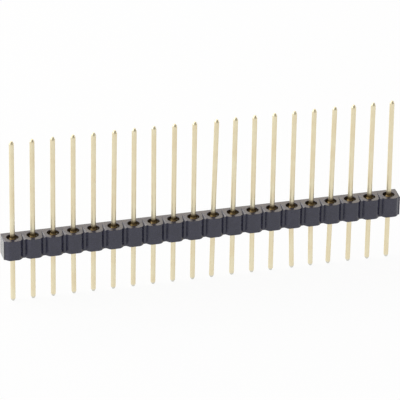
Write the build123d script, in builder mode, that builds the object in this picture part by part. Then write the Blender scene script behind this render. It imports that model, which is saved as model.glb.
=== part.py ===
from build123d import *
import os

# A single-row pin header strip: turned round pins pressed into a moulded bar of break-off cells.
# Millimetres. X runs along the row, the posts point to +Z, and -Y is the front of the bar.
# The origin is the middle of the seat, the flat underside that stands on a circuit board.

# Row
pin_count = 20
pitch = 2.54

# Moulded bar
bar_width = 2.54
bar_height = 2.6
notch_width = 1.2
notch_depth = 0.47
notch_floor_width = 0.3
lip_radius = 0.55
groove_length = 2.1
groove_width = 0.7
groove_depth = 0.24
well_diameter = 1.5
well_depth = 0.45

# Turned pin
post_diameter = 0.6
post_length = 12.95
tail_diameter = 0.6
tail_length = 6.15
tip_diameter = 0.3
tip_length = 0.3
barrel_diameter = 0.96
barrel_recess = 0.1
barrel_lead_in = 0.12
collar_diameter = 1.04
collar_rim = 0.05
collar_rise = 0.38

# Worked out from the sizes above. The barrel is pressed into its bore, line to line
bar_length = pin_count * pitch
bore_diameter = barrel_diameter
well_floor = bar_height - well_depth
rim_top = well_floor + collar_rim
collar_top = rim_top + collar_rise
post_end = bar_height + post_length

# Plan of a break-off notch, which opens at y = 0 and narrows to its floor
with BuildSketch() as notch:
    with BuildLine():
        Polyline(
            (-notch_width / 2, 0),
            (notch_width / 2, 0),
            (notch_floor_width / 2, notch_depth),
            (-notch_floor_width / 2, notch_depth),
            close=True,
        )
    make_face()

# The moulded bar: a run of cells with a notch in front at each boundary and half a notch at each end,
# a groove in the top that runs down to each notch, and a stepped hole for a pin in each cell
with BuildPart() as insulator:
    with BuildSketch() as bar_plan:
        Rectangle(bar_length, bar_width)
        with Locations((0, -bar_width / 2)):
            with GridLocations(pitch, 0, pin_count + 1, 1):
                add(notch.sketch, mode=Mode.SUBTRACT)
        notch_lips = bar_plan.vertices().group_by(Axis.Y)[0]
        fillet(notch_lips, radius=lip_radius)
    extrude(amount=bar_height)
    groove_start = groove_length - bar_width / 2
    groove_run = Vector(0, -groove_length, -groove_depth)
    with BuildSketch(Plane.XZ.offset(-groove_start)):
        with BuildLine():
            Polyline(
                (0, bar_height),
                (groove_width / 2, bar_height + groove_depth),
                (-groove_width / 2, bar_height + groove_depth),
                close=True,
            )
        make_face()
    groove = extrude(amount=groove_run.length, dir=groove_run, mode=Mode.PRIVATE)
    with GridLocations(pitch, 0, pin_count + 1, 1):
        add(groove, mode=Mode.SUBTRACT)
    with Locations((0, 0, bar_height)):
        with GridLocations(pitch, 0, pin_count, 1):
            CounterBoreHole(bore_diameter / 2, well_diameter / 2, well_depth)

# One turned pin: tail, barrel in the bore, collar on the floor of the well, and post
with BuildPart() as turned_pin:
    with BuildSketch(Plane.XZ):
        with BuildLine():
            Polyline(
                (0, -tail_length),
                (tip_diameter / 2, -tail_length),
                (tail_diameter / 2, tip_length - tail_length),
                (tail_diameter / 2, barrel_recess),
                (barrel_diameter / 2, barrel_recess + barrel_lead_in),
                (barrel_diameter / 2, well_floor),
                (collar_diameter / 2, well_floor),
                (collar_diameter / 2, rim_top),
                (post_diameter / 2, collar_top),
                (post_diameter / 2, post_end - tip_length),
                (tip_diameter / 2, post_end),
                (0, post_end),
                close=True,
            )
        make_face()
    revolve(axis=Axis.Z)

os.makedirs("parts", exist_ok=True)

insulator.part.label = "insulator"
export_step(insulator.part, "parts/insulator.step")

pin_places = GridLocations(pitch, 0, pin_count, 1).locations
for number, place in enumerate(pin_places, start=1):
    with BuildPart() as pin:
        with Locations(place):
            add(turned_pin.part)
    pin.part.label = f"pin_{number:02d}"
    export_step(pin.part, f"parts/{pin.part.label}.step")
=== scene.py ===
"""Looks of a single-row pin header strip: turned gold pins in a black moulded bar of break-off cells.

Metres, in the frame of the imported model: X runs along the row, +Z along the posts, and -Y is the front.
"""
import math

import bmesh
import bpy
from mathutils import Matrix, Vector
from mathutils.geometry import intersect_line_line_2d


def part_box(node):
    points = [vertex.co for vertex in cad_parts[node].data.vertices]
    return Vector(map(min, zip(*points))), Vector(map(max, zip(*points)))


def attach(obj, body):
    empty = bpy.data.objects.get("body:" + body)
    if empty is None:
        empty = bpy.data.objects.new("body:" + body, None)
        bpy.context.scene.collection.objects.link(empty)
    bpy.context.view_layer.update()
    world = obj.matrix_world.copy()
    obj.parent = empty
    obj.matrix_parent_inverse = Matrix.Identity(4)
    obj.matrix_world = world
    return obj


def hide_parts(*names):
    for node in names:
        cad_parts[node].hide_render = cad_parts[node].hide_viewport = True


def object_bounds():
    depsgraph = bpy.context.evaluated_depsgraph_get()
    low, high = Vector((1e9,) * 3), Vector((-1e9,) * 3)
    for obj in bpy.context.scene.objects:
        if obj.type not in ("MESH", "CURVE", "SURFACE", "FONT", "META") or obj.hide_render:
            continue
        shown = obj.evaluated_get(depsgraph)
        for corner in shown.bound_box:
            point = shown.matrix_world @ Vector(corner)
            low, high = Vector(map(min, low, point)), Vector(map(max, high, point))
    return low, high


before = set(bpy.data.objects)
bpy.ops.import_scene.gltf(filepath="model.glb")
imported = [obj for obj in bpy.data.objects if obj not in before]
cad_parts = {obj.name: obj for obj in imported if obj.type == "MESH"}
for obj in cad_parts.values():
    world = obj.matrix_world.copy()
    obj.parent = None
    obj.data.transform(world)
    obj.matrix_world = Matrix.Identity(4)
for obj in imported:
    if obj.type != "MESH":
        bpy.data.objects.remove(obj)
cad_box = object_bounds()

MM = 0.001

# Sizes read from the frame
pin_nodes = sorted(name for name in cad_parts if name.startswith("pin_"))
bar_low, bar_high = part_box("insulator")
pin_low, pin_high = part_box(pin_nodes[0])
pitch = (bar_high.x - bar_low.x) / len(pin_nodes)
half_cell = pitch / 2
bar_front = bar_low.y
bar_back = bar_high.y
bar_top = bar_high.z
collar_radius = (pin_high.x - pin_low.x) / 2

# Moulded bar
notch_width = 1.2 * MM
notch_depth = 0.47 * MM
notch_floor_width = 0.3 * MM
lip_radius = 0.55 * MM
groove_length = 2.1 * MM
groove_width = 0.7 * MM
groove_depth = 0.24 * MM
well_radius = 0.75 * MM
well_depth = 0.45 * MM
well_floor = bar_top - well_depth
bore_radius = 0.48 * MM

# Rounded edges of the bar: the usual rounding, and the largest, where the wall of a notch cuts the top
mould_rounding = 0.045 * MM
lip_rounding = 0.14 * MM
rounding_segments = 3
rounded_from_angle = math.radians(18)
weld_distance = mould_rounding / 100

# Steps round a cell. Angles that agree to these digits are one
largest_ring_step = math.radians(6)
angle_digits = 9
angle_slack = 1e-6

# Turned pins
shaft_radius = 0.3 * MM
tip_radius = 0.15 * MM
tip_length = 0.3 * MM
barrel_recess = 0.1 * MM
barrel_lead_in = 0.12 * MM
collar_rim = 0.05 * MM
collar_rise = 0.38 * MM
nose_rounding = 0.14 * MM
shoulder_rounding = 0.35 * MM
edge_rounding = 0.02 * MM
pin_ring_points = 56
sharp_from_angle = math.radians(40)

# Rounded corners of an outline: an arc takes up no more than this share of the sides beside it
arc_steps = 5
arc_side_share = 0.45

# Handling has pushed a few posts and tails aside: how far their tips stand from straight, along the row
post_lean = {6: 0.08 * MM, 8: -0.07 * MM, 11: 0.24 * MM, 12: 0.09 * MM, 17: 0.1 * MM, 20: -0.1 * MM}
tail_lean = {4: 0.07 * MM, 11: -0.08 * MM, 13: 0.06 * MM, 15: 0.22 * MM, 16: 0.14 * MM, 17: -0.09 * MM}

# Painted reflection of the gold pins in the wells, in brown: it ends a little outside the wall of the well
# and below the bar's top
well_reflection_hold = 0.02 * MM
well_reflection_reach = 0.05 * MM
well_reflection_fade_depth = 0.2 * MM
well_reflection_end_depth = 0.03 * MM

# Pale skin of the snapped ends of the bar: partly the pale break, partly a painted highlight of the bright
# end faces
pale_end_depth = 0.03 * MM
pale_end_full_depth = 0.01 * MM

# Painted shade and reflection of the dark bar, in brown: on the foot of a post above the bar's top, and on
# its barrel above the underside
foot_shade_height = 0.2 * MM
foot_shade_end_height = 0.65 * MM
barrel_shade_start = 0.1 * MM

# Grey end of a tail
grey_end_length = 0.15 * MM
grey_end_fade_length = 0.4 * MM

# Most of a noise lies between these values
noise_low = 0.3
noise_high = 0.7


def new_piece(name, mesh, along=0):
    """Link a mesh as a piece of the object, at a place along the row."""
    piece = bpy.data.objects.new(name, mesh)
    piece.location.x = along
    bpy.context.scene.collection.objects.link(piece)
    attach(piece, "root")
    return piece


def smooth_data(mesh, name):
    """Mesh data from a finished build, shaded smooth."""
    for face in mesh.faces:
        face.smooth = True
    data = bpy.data.meshes.new(name)
    mesh.to_mesh(data)
    mesh.free()
    return data


def rounded_corner(before, corner, after, rounding):
    """Points of the arc that rounds a corner, from the side of the point before it to that of the next."""
    to_before = before - corner
    to_after = after - corner
    half_angle = to_before.angle(to_after) / 2
    longest_reach = arc_side_share * min(to_before.length, to_after.length)
    reach = min(rounding / math.tan(half_angle), longest_reach)
    inward = (to_before.normalized() + to_after.normalized()).normalized()
    centre = corner + inward * (reach / math.cos(half_angle))
    radius = reach * math.tan(half_angle)
    start = (corner + to_before.normalized() * reach - centre).normalized()
    end = (corner + to_after.normalized() * reach - centre).normalized()
    return [centre + start.slerp(end, step / arc_steps) * radius for step in range(arc_steps + 1)]


def ring_point(angle, radius, height):
    """Point at an angle round an upright axis."""
    return Vector((radius * math.cos(angle), radius * math.sin(angle), height))


# Moulded bar

def cross(a, b):
    """Cross product of two plan vectors."""
    return a.x * b.y - a.y * b.x


def top_height(point):
    """Height of the bar's top at a plan point of a cell: flat, but for the groove that falls to the notch."""
    edge = half_cell - groove_width / 2 * (bar_front + groove_length - point.y) / groove_length
    return bar_top - max(0.0, point.x - edge) * groove_depth / (groove_width / 2)


def cell_outlines():
    """Right half of a cell, front to back: the outlines of its plan and of its flat top, side for side."""
    front = Vector((0, bar_front))
    back = Vector((0, bar_back))
    back_corner = Vector((half_cell, bar_back))
    mouth = Vector((half_cell - notch_width / 2, bar_front))
    floor = Vector((half_cell - notch_floor_width / 2, bar_front + notch_depth))
    floor_middle = Vector((half_cell, bar_front + notch_depth))
    lip = rounded_corner(front, mouth, floor, lip_radius)
    groove_start = Vector((half_cell, bar_front + groove_length))
    groove_mouth = Vector((half_cell - groove_width / 2, bar_front))
    meeting = intersect_line_line_2d(lip[-1], floor, groove_mouth, groove_start)
    plan = [front, *lip, floor, floor_middle, back_corner, back]
    flat_top = [front, *lip, meeting, groove_start, back_corner, back]
    return plan, flat_top


def ring_angles(*outlines):
    """Angles round a cell, front to back on the right, that meet every corner and leave no large step."""
    fixed = [-math.pi / 2, math.pi / 2]
    for outline in outlines:
        fixed += [math.atan2(corner.y, corner.x) for corner in outline]
    fixed = sorted(set(round(angle, angle_digits) for angle in fixed))
    angles = []
    for start, end in zip(fixed, fixed[1:]):
        steps = max(1, math.ceil((end - start) / largest_ring_step))
        angles += [start + (end - start) * step / steps for step in range(steps)]
    return angles + [fixed[-1]]


def side_points(outline, angles):
    """Points of an outline at those angles, one list for each of its sides, from the front to the back."""
    sides = []
    for start, end in zip(outline, outline[1:]):
        low = math.atan2(start.y, start.x)
        high = math.atan2(end.y, end.x)
        points = [start]
        for angle in angles:
            if low + angle_slack < angle < high - angle_slack:
                ray = Vector((math.cos(angle), math.sin(angle)))
                edge = end - start
                points.append(ray * (cross(start, edge) / cross(ray, edge)))
        sides.append(points + [end])
    return sides


def joined(sides):
    """The points of all sides as one list, each corner once."""
    return [point for side in sides for point in side[:-1]] + [sides[-1][-1]]


def add_face(mesh, points, mirror):
    """One face from its corners, turned over and flipped where it is the left half's copy."""
    if mirror:
        points = [Vector((-p.x, p.y, p.z)) for p in reversed(points)]
    mesh.faces.new([mesh.verts.new(p) for p in points])


def lift(points, height):
    """Plan points as points of the bar at one height."""
    return [Vector((p.x, p.y, height)) for p in points]


def lift_to_top(points):
    """Plan points as points of the bar's grooved top."""
    return [Vector((p.x, p.y, top_height(p))) for p in points]


def add_half_cell(mesh, mirror, end_wall):
    """One half of a cell: its top, walls, underside and half of its stepped hole."""
    plan, flat_top = cell_outlines()
    angles = ring_angles(plan, flat_top)
    plan_sides = side_points(plan, angles)
    top_sides = side_points(flat_top, angles)
    hole = [
        (well_radius, bar_top),
        (well_radius, well_floor),
        (bore_radius, well_floor),
        (bore_radius, bar_low.z),
    ]
    rings = [lift(joined(top_sides), bar_top)]
    rings += [[ring_point(angle, radius, height) for angle in angles] for radius, height in hole]
    rings += [lift(joined(plan_sides), bar_low.z)]
    for outer, inner in zip(rings, rings[1:]):
        for step in range(len(angles) - 1):
            add_face(mesh, [outer[step], outer[step + 1], inner[step + 1], inner[step]], mirror)
    # The last three sides are the notch's floor, the boundary to the next cell and the back
    floor_side = len(plan_sides) - 3
    floor, floor_middle = plan_sides[floor_side]
    add_face(mesh, lift_to_top(top_sides[floor_side][::-1] + [floor, floor_middle]), mirror)
    tops = [list(side) for side in top_sides]
    tops[floor_side - 1].append(floor)
    tops[floor_side] = [floor, floor_middle]
    tops[floor_side + 1].insert(0, floor_middle)
    for number, (bottom, top) in enumerate(zip(plan_sides, tops)):
        if number != floor_side + 1 or end_wall:
            add_face(mesh, lift(bottom, bar_low.z) + lift_to_top(top)[::-1], mirror)


def set_edge_roundings(mesh):
    """Mark each edge with its rounding, as a share of the largest: wide where a notch cuts the top."""
    rounding = mesh.edges.layers.float.new("bevel_weight_edge")
    usual_share = mould_rounding / lip_rounding
    # Parts of a unit normal: of the top, of what still counts as level, and of a wall turned well aside
    top_part = 0.5
    level_part = 0.1
    aside_part = 0.6
    for edge in mesh.edges:
        if len(edge.link_faces) != 2 or edge.calc_face_angle() < rounded_from_angle:
            continue
        upper, wall = sorted((face.normal for face in edge.link_faces), key=lambda normal: -normal.z)
        top_meets_front = upper.z > top_part and abs(wall.z) < level_part and wall.y < -level_part
        turned = min(1, abs(wall.x) / aside_part) if top_meets_front else 0
        edge[rounding] = usual_share + turned * (1 - usual_share)


def build_insulator():
    """The whole bar as one closed mesh, cell after cell, with the edges of a moulding."""
    mesh = bmesh.new()
    for number in range(len(pin_nodes)):
        first = len(mesh.verts)
        add_half_cell(mesh, False, number == len(pin_nodes) - 1)
        add_half_cell(mesh, True, number == 0)
        mesh.verts.ensure_lookup_table()
        middle = bar_low.x + (number + 0.5) * pitch
        bmesh.ops.translate(mesh, verts=mesh.verts[first:], vec=(middle, 0, 0))
    bmesh.ops.remove_doubles(mesh, verts=mesh.verts, dist=weld_distance)
    bmesh.ops.recalc_face_normals(mesh, faces=mesh.faces)
    set_edge_roundings(mesh)
    piece = new_piece("moulded_bar", smooth_data(mesh, "moulded_bar"))
    bevel = piece.modifiers.new("mould_rounding", "BEVEL")
    bevel.width = lip_rounding
    bevel.segments = rounding_segments
    bevel.limit_method = "WEIGHT"
    bevel.harden_normals = True
    weld = piece.modifiers.new("weld", "WELD")
    weld.merge_threshold = weld_distance
    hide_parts("insulator")
    return piece


# Turned pins

def pin_profile():
    """Half section of a pin, tail tip to post tip."""
    rim_top = well_floor + collar_rim
    barrel_bottom = bar_low.z + barrel_recess
    corners = [
        (0, pin_low.z, 0),
        (tip_radius, pin_low.z, nose_rounding),
        (shaft_radius, pin_low.z + tip_length, shoulder_rounding),
        (shaft_radius, barrel_bottom, edge_rounding),
        (bore_radius, barrel_bottom + barrel_lead_in, edge_rounding),
        (bore_radius, well_floor, 0),
        (collar_radius, well_floor, 0),
        (collar_radius, rim_top, edge_rounding),
        (shaft_radius, rim_top + collar_rise, shoulder_rounding),
        (shaft_radius, pin_high.z - tip_length, shoulder_rounding),
        (tip_radius, pin_high.z, nose_rounding),
        (0, pin_high.z, 0),
    ]
    places = [Vector((radius, height)) for radius, height, rounding in corners]
    points = []
    for number, (radius, height, rounding) in enumerate(corners):
        if rounding == 0:
            points.append(places[number])
        else:
            points += rounded_corner(*places[number - 1:number + 2], rounding)
    return points


def lean_at(height, number):
    """How far along the row a pin's axis stands aside at a height."""
    if height > bar_top:
        return post_lean.get(number, 0) * (height - bar_top) / (pin_high.z - bar_top)
    if height < bar_low.z:
        return tail_lean.get(number, 0) * (bar_low.z - height) / (bar_low.z - pin_low.z)
    return 0


def build_pin(node, number):
    """One pin as a closed turned mesh in its cell."""
    low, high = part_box(node)
    middle = (low.x + high.x) / 2
    mesh = bmesh.new()
    rings = []
    for point in pin_profile():
        aside = Vector((lean_at(point.y, number), 0, 0))
        count = 1 if point.x == 0 else pin_ring_points
        angles = [2 * math.pi * step / pin_ring_points for step in range(count)]
        rings.append([mesh.verts.new(ring_point(angle, point.x, point.y) + aside) for angle in angles])
    for lower, upper in zip(rings, rings[1:]):
        for step in range(pin_ring_points):
            after = (step + 1) % pin_ring_points
            corners = [lower[step % len(lower)], lower[after % len(lower)]]
            corners += [upper[after % len(upper)], upper[step % len(upper)]]
            mesh.faces.new(list(dict.fromkeys(corners)))
    data = smooth_data(mesh, f"turned_{node}")
    data.set_sharp_from_angle(angle=sharp_from_angle)
    piece = new_piece(f"turned_{node}", data, middle)
    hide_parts(node)
    return piece


# Materials. The scale of a noise is about the number of its features in a metre

class Nodes:
    """A short way to add and join the nodes of one material or world."""

    def __init__(self, owner):
        owner.use_nodes = True
        self.tree = owner.node_tree
        self.tree.nodes.clear()

    def add(self, kind, values=None, **settings):
        """A node with its settings, and with numbers or other nodes' outputs on its inputs."""
        node = self.tree.nodes.new(kind)
        for name, value in settings.items():
            setattr(node, name, value)
        for name, value in (values or {}).items():
            if isinstance(value, bpy.types.NodeSocket):
                self.tree.links.new(value, node.inputs[name])
            else:
                node.inputs[name].default_value = value
        return node


def calculate(nodes, operation, *values):
    """The result of one operation on other nodes' outputs and constant numbers."""
    return nodes.add("ShaderNodeMath", dict(enumerate(values)), operation=operation).outputs["Value"]


def spread(nodes, value, low, high, start=noise_low, end=noise_high, steps="LINEAR"):
    """A value from low to high while another runs from start to end."""
    ranges = {"Value": value, "From Min": start, "From Max": end, "To Min": low, "To Max": high}
    return nodes.add("ShaderNodeMapRange", ranges, interpolation_type=steps).outputs["Result"]


def colour_ramp(nodes, factor, first, last):
    """A ramp between two colours over the middle of a noise."""
    ramp = nodes.add("ShaderNodeValToRGB", {"Fac": factor})
    for element, position, colour in zip(ramp.color_ramp.elements, (noise_low, noise_high), (first, last)):
        element.position = position
        element.color = (*colour, 1)
    return ramp.outputs["Color"]


def blend_colours(nodes, factor, first, last):
    """One colour where the factor is 0, the other where it is 1."""
    mix = nodes.add("ShaderNodeMix", data_type="RGBA")
    for socket, source in zip((mix.inputs[0], mix.inputs[6], mix.inputs[7]), (factor, first, last)):
        nodes.tree.links.new(source, socket)
    return mix.outputs[2]


def noise(nodes, place, scale, detail):
    """A noise of a given scale over a place."""
    return nodes.add("ShaderNodeTexNoise", {"Vector": place, "Scale": scale, "Detail": detail}).outputs["Fac"]


def stretched(nodes, place, scales):
    """A place with each axis scaled by itself."""
    return nodes.add("ShaderNodeMapping", {"Vector": place, "Scale": scales}).outputs["Vector"]


def relief(nodes, height, strength, distance):
    """The normal of a surface with a fine relief."""
    settings = {"Height": height, "Strength": strength, "Distance": distance}
    return nodes.add("ShaderNodeBump", settings).outputs["Normal"]


def finish_surface(nodes, values):
    """Send a surface with these values to the output of its material."""
    surface = nodes.add("ShaderNodeBsdfPrincipled", values).outputs["BSDF"]
    nodes.add("ShaderNodeOutputMaterial", {"Surface": surface})


def in_well_share(nodes, axes):
    """1 on the walls and floors of the wells, 0 on the rest of the bar."""
    from_end = calculate(nodes, "SUBTRACT", axes["X"], bar_low.x)
    from_boundary = calculate(nodes, "WRAP", from_end, half_cell, -half_cell)
    to_pin = calculate(nodes, "SUBTRACT", half_cell, calculate(nodes, "ABSOLUTE", from_boundary))
    plan = nodes.add("ShaderNodeCombineXYZ", {"X": to_pin, "Y": axes["Y"]}).outputs["Vector"]
    radius = nodes.add("ShaderNodeVectorMath", {0: plan}, operation="LENGTH").outputs["Value"]
    near = spread(nodes, radius, 1, 0, well_radius + well_reflection_hold, well_radius + well_reflection_reach)
    low = spread(nodes, axes["Z"], 1, 0, bar_top - well_reflection_fade_depth, bar_top - well_reflection_end_depth)
    return calculate(nodes, "MULTIPLY", near, low)


def moulded_plastic():
    """Glossy blue-black moulding compound: fine grain, draw lines, wells painted brown as a reflection of the
    gold pins, and pale snapped ends that are partly a painted highlight.
    """
    ripple_weight = 8.0
    snapped_roughness = 0.5
    material = bpy.data.materials.new("moulded_black_plastic")
    nodes = Nodes(material)
    place = nodes.add("ShaderNodeTexCoord").outputs["Object"]
    axes = nodes.add("ShaderNodeSeparateXYZ", {"Vector": place}).outputs
    in_well = in_well_share(nodes, axes)
    from_middle = calculate(nodes, "ABSOLUTE", axes["X"])
    snapped_and_lit_end = spread(nodes, from_middle, 0, 1, bar_high.x - pale_end_depth, bar_high.x - pale_end_full_depth)
    mottle = noise(nodes, place, 900, 4)
    ripple = noise(nodes, place, 3200, 1)
    grain = noise(nodes, place, 9000, 3)
    draw_lines = noise(nodes, stretched(nodes, place, (7000, 7000, 300)), 1, 2)
    moulded = colour_ramp(nodes, mottle, (0.02, 0.02, 0.045), (0.033, 0.033, 0.064))
    # Painted reflection of the gold pins: brown on the walls and floors of the wells
    painted_gold_reflection = colour_ramp(nodes, mottle, (0.05, 0.033, 0.014), (0.085, 0.058, 0.028))
    # Pale snapped ends: the pale break, made paler as a painted highlight of the end faces
    pale_break_and_highlight = colour_ramp(nodes, grain, (0.2, 0.2, 0.2), (0.5, 0.5, 0.49))
    gloss = spread(nodes, mottle, 0.2, 0.34)
    fine = calculate(nodes, "ADD", grain, draw_lines)
    height = calculate(nodes, "MULTIPLY_ADD", ripple, ripple_weight, fine)
    finish_surface(nodes, {
        "Base Color": blend_colours(nodes, snapped_and_lit_end, blend_colours(nodes, in_well, moulded, painted_gold_reflection), pale_break_and_highlight),
        "Roughness": calculate(nodes, "MULTIPLY_ADD", snapped_and_lit_end, snapped_roughness, gloss),
        "Normal": relief(nodes, height, strength=0.5, distance=0.004 * MM),
        "IOR": 1.6,
    })
    return material


def gold_plate():
    """Pale gold on turned brass: tool rings, a slight drift of colour, painted brown shade and reflection of
    the dark bar in the well and at the foot of the posts, grey tail ends.
    """
    grey_roughness = 0.15
    material = bpy.data.materials.new("gold_plated_brass")
    nodes = Nodes(material)
    place = nodes.add("ShaderNodeTexCoord").outputs["Object"]
    height = nodes.add("ShaderNodeSeparateXYZ", {"Vector": place}).outputs["Z"]
    # Grey towards the tip of each tail
    grey_end_share = spread(nodes, height, 1, 0, pin_low.z + grey_end_length, pin_low.z + grey_end_fade_length)
    low = spread(nodes, height, 1, 0, bar_top + foot_shade_height, bar_top + foot_shade_end_height)
    above_seat = spread(nodes, height, 0, 1, bar_low.z, bar_low.z + barrel_shade_start)
    painted_shade_share = calculate(nodes, "MULTIPLY", low, above_seat)
    which = nodes.add("ShaderNodeObjectInfo").outputs["Random"]
    drift_values = {"Vector": place, "W": which, "Scale": 500}
    drift = nodes.add("ShaderNodeTexNoise", drift_values, noise_dimensions="4D").outputs["Fac"]
    tool_rings = noise(nodes, stretched(nodes, place, (600, 600, 26000)), 1, 3)
    plated = colour_ramp(nodes, drift, (0.83, 0.725, 0.5), (0.87, 0.8, 0.585))
    # Painted shade and reflection: brown where the dark bar shades and mirrors in the gold, in the well and
    # at a post's foot
    shade_brown = colour_ramp(nodes, tool_rings, (0.26, 0.18, 0.08), (0.34, 0.24, 0.11))
    grey_end_colour = colour_ramp(nodes, tool_rings, (0.62, 0.62, 0.58), (0.74, 0.74, 0.70))
    gloss = spread(nodes, tool_rings, 0.38, 0.5)
    finish_surface(nodes, {
        "Base Color": blend_colours(nodes, grey_end_share, blend_colours(nodes, painted_shade_share, plated, shade_brown), grey_end_colour),
        "Metallic": 1.0,
        "Roughness": calculate(nodes, "MULTIPLY_ADD", grey_end_share, grey_roughness, gloss),
        "Normal": relief(nodes, tool_rings, strength=0.2, distance=0.002 * MM),
    })
    return material


def seen_rays(nodes):
    """1 for a ray that shows the background: from the camera, or off or through a surface."""
    rays = nodes.add("ShaderNodeLightPath").outputs
    camera_or_gloss = calculate(nodes, "MAXIMUM", rays["Is Camera Ray"], rays["Is Glossy Ray"])
    return calculate(nodes, "MAXIMUM", camera_or_gloss, rays["Is Transmission Ray"])


def white_floor_material():
    """A matt white sweep that shows as white and keeps a part of the shadow on it."""
    plain_share = 0.92
    material = bpy.data.materials.new("white_sweep")
    nodes = Nodes(material)
    lit = nodes.add("ShaderNodeBsdfDiffuse", {"Color": (0.9, 0.9, 0.9, 1)}).outputs["BSDF"]
    plain = nodes.add("ShaderNodeEmission", {"Color": (1, 1, 1, 1), "Strength": 1.0}).outputs["Emission"]
    share = calculate(nodes, "MULTIPLY", seen_rays(nodes), plain_share)
    both = nodes.add("ShaderNodeMixShader", {0: share, 1: lit, 2: plain}).outputs["Shader"]
    nodes.add("ShaderNodeOutputMaterial", {"Surface": both})
    return material


# Stage, light and camera

def build_floor():
    """The sweep under the tips of the tails."""
    reach = 3.0
    corners = [(-reach, -reach, 0), (reach, -reach, 0), (reach, reach, 0), (-reach, reach, 0)]
    mesh = bpy.data.meshes.new("floor")
    mesh.from_pydata(corners, [], [(0, 1, 2, 3)])
    mesh.materials.append(white_floor_material())
    floor = bpy.data.objects.new("floor", mesh)
    floor.location.z = cad_box[0].z
    bpy.context.scene.collection.objects.link(floor)


def build_world():
    """A studio that is bright at the left and behind the object, and dim at the front and the right."""
    bright_side = (-0.78, 0.62, 0)
    dim_level = 0.35
    bright_level = 1.0
    dim_until = -0.2
    bright_from = 0.5
    world = bpy.data.worlds.new("studio")
    bpy.context.scene.world = world
    nodes = Nodes(world)
    direction = nodes.add("ShaderNodeTexCoord").outputs["Generated"]
    sides = {0: direction, 1: bright_side}
    turned_to = nodes.add("ShaderNodeVectorMath", sides, operation="DOT_PRODUCT").outputs["Value"]
    level = spread(nodes, turned_to, dim_level, bright_level, dim_until, bright_from, "SMOOTHSTEP")
    room = nodes.add("ShaderNodeBackground", {"Color": (1, 1, 1, 1), "Strength": level})
    nodes.add("ShaderNodeOutputWorld", {"Surface": room.outputs["Background"]})


def build_softbox(name, direction, distance, size, level, colour=(1, 1, 1)):
    """A soft lamp that looks at the bar from a direction, with the brightness of its face given."""
    width, height = size
    lamp = bpy.data.lights.new(name, "AREA")
    lamp.shape = "RECTANGLE"
    lamp.size = width
    lamp.size_y = height
    lamp.energy = level * math.pi * width * height
    lamp.color = colour
    softbox = bpy.data.objects.new(name, lamp)
    outward = Vector(direction).normalized()
    softbox.location = outward * distance
    softbox.rotation_euler = outward.to_track_quat("Z", "Y").to_euler()
    bpy.context.scene.collection.objects.link(softbox)


def build_softboxes():
    """Warm light from behind for the sheen of the bar's top, and white light from the sides and above."""
    build_softbox(
        "back_softbox",
        direction=(0.27, 0.86, 0.47),
        distance=0.45,
        size=(0.2, 0.16),
        level=1.35,
        colour=(1, 0.83, 0.56),
    )
    build_softbox(
        "left_back_softbox",
        direction=(-0.42, 0.745, 0.517),
        distance=0.45,
        size=(0.18, 0.16),
        level=3,
        colour=(1, 0.93, 0.84),
    )
    build_softbox("left_softbox", direction=(-0.85, 0.3, 0.5), distance=0.5, size=(0.3, 0.3), level=3.5)
    build_softbox("right_softbox", direction=(0.95, 0.1, 0.14), distance=0.5, size=(0.3, 0.1), level=2)
    build_softbox("top_softbox", direction=(0, 0.1, 1), distance=0.6, size=(0.5, 0.5), level=0.5)


def build_camera():
    """The photograph's view: a long lens from the left, above the bar, turned a little about its axis."""
    azimuth = math.radians(-16)
    elevation = math.radians(27)
    roll = math.radians(0.99)
    distance = 405.3 * MM
    target = Vector((-0.45 * MM, 0, 4.79 * MM))
    picture_width = 400
    focal_pixels = 3289
    back = Vector((
        math.sin(azimuth) * math.cos(elevation),
        -math.cos(azimuth) * math.cos(elevation),
        math.sin(elevation),
    ))
    level = Vector((math.cos(azimuth), math.sin(azimuth), 0))
    upright = back.cross(level)
    right = level * math.cos(roll) + upright * math.sin(roll)
    up = upright * math.cos(roll) - level * math.sin(roll)
    data = bpy.data.cameras.new("camera")
    data.sensor_width = 36
    data.lens = focal_pixels * data.sensor_width / picture_width
    data.clip_start = 10 * MM
    data.clip_end = 10
    camera = bpy.data.objects.new("camera", data)
    turn = Matrix((right, up, back)).transposed().to_4x4()
    camera.matrix_world = Matrix.Translation(target + back * distance) @ turn
    bpy.context.scene.collection.objects.link(camera)
    bpy.context.scene.camera = camera


bar = build_insulator()
bar.data.materials.append(moulded_plastic())
gold = gold_plate()
for number, node in enumerate(pin_nodes, start=1):
    build_pin(node, number).data.materials.append(gold)

build_floor()
build_world()
build_softboxes()
build_camera()
bpy.context.scene.view_settings.view_transform = "Standard"
